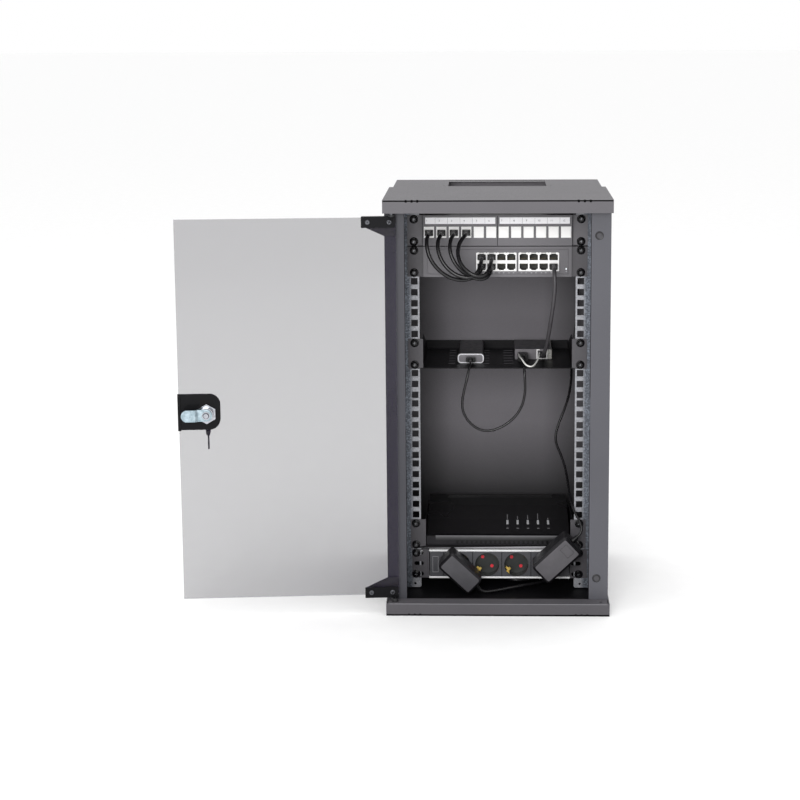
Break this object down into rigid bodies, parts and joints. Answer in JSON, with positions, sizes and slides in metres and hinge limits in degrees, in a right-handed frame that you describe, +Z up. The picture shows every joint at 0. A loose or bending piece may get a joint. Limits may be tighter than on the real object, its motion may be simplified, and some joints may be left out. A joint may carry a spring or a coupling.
{
  "type": "wall mount network cabinet",
  "caption": "Small sheet-steel wall cabinet for half-width rack equipment, glass door on clamp hinges standing open, fitted with patch panel, switch, shelves and socket strip.",
  "frame": {"origin": "centre of the base's underside, midway between the front lip plane and the wall face", "axes": "+X to the right seen from the front, +Y into the cabinet towards the wall, +Z up"},
  "size_m": [0.5951, 0.3307, 0.584],
  "materials": {
    "shell": "fine-textured powder coat, dark grey",
    "zinc": "galvanised sheet, spangled",
    "zinc_fastener": "bright zinc plate",
    "black_fastener": "black oxide, satin",
    "cage_nut": "spring steel, nickel",
    "rubber": "matt",
    "glass": "grey-tinted safety glass, polished",
    "bracket": "black powder coat",
    "nylon": "black nylon",
    "lock_chrome": "polished zinc die-cast",
    "key": "black plastic grip on a nickel blade",
    "panel_black": "powder coat, satin black",
    "jack_white": "white",
    "label_white": "white strip under clear film",
    "board": "board and punch-down blocks",
    "device_black": "moulded black plastic",
    "device_grey": "grey anodised",
    "indicator": "clear light pipe",
    "pdu_alu": "natural anodised extrusion",
    "pdu_plastic": "anthracite",
    "brass": "brass contact",
    "red": "red",
    "adapter": "moulded black plastic, fine grain",
    "cord_black": "black jacket",
    "plug_black": "black boot on a clear plug",
    "white_tie": "white"
  },
  "bodies": {
    "cabinet": {"base_cover": "shell", "cage_nuts": "cage_nut", "converter_case": "device_grey", "data_plugs": "plug_black", "device_shelf": "panel_black", "door_bumpers": "rubber", "earth_stud": "brass", "equipment_ears": "panel_black", "left_adapter_cord": "cord_black", "left_power_adapter": "adapter", "left_rack_rail": "zinc", "left_side_panel": "shell", "panel_screws": "black_fastener", "patch_cord_1": "cord_black", "patch_cord_2": "cord_black", "patch_cord_3": "cord_black", "patch_cord_4": "cord_black", "patch_jacks": "jack_white", "patch_labels": "label_white", "patch_panel": "panel_black", "patch_rear_blocks": "board", "pdu_earth_clips": "brass", "pdu_inlet": "plug_black", "pdu_profile": "pdu_alu", "pdu_shutters": "red", "pdu_socket_modules": "pdu_plastic", "rack_screws": "black_fastener", "rear_panel": "shell", "right_adapter_cord": "cord_black", "right_power_adapter": "adapter", "right_rack_rail": "zinc", "right_side_panel": "shell", "router_case": "device_black", "router_indicators": "indicator", "router_shelf": "panel_black", "strain_reliefs": "plug_black", "supply_plugs": "plug_black", "switch_case": "panel_black", "switch_jacks": "jack_white", "top_cover": "shell", "uplink_cord": "cord_black", "usb_cord": "cord_black", "usb_device": "device_black", "usb_lead_plugs": "plug_black", "white_tie": "white_tie"},
    "door": {"door_glass": "glass", "upper_hinge_bracket": "bracket", "lower_hinge_bracket": "bracket", "hinge_clamp_screws": "zinc_fastener", "hinge_pads_and_washers": "nylon", "hinge_pins": "zinc_fastener", "lock_bracket": "bracket", "lock_barrel": "lock_chrome", "lock_nut": "lock_chrome"},
    "lock_core": {"lock_rotor": "lock_chrome", "lock_cam": "zinc", "cam_screw": "zinc_fastener", "lock_key": "key"},
    "key_bunch": {"key_ring": "zinc_fastener", "spare_key": "key"}
  },
  "joints": [
    {"name": "door_swing", "type": "hinge", "parent": "cabinet", "child": "door", "pos_m": [-0.144, -0.141, 0.292], "axis": [0, 0, 1], "range_deg": [-4.8, 175.2]},
    {"name": "lock_turn", "type": "hinge", "parent": "door", "child": "lock_core", "pos_m": [-0.39966, -0.15344, 0.292], "axis": [0.0837, -0.9965, 0], "range_deg": [0, 90]},
    {"name": "key_swing", "type": "hinge", "parent": "lock_core", "child": "key_bunch", "pos_m": [-0.40099, -0.13759, 0.2873], "axis": [0.0837, -0.9965, 0], "range_deg": [-90, 0]}
  ],
  "couplings": [
    {"joint": "key_swing", "follows": "lock_turn", "ratio": -1}
  ]
}
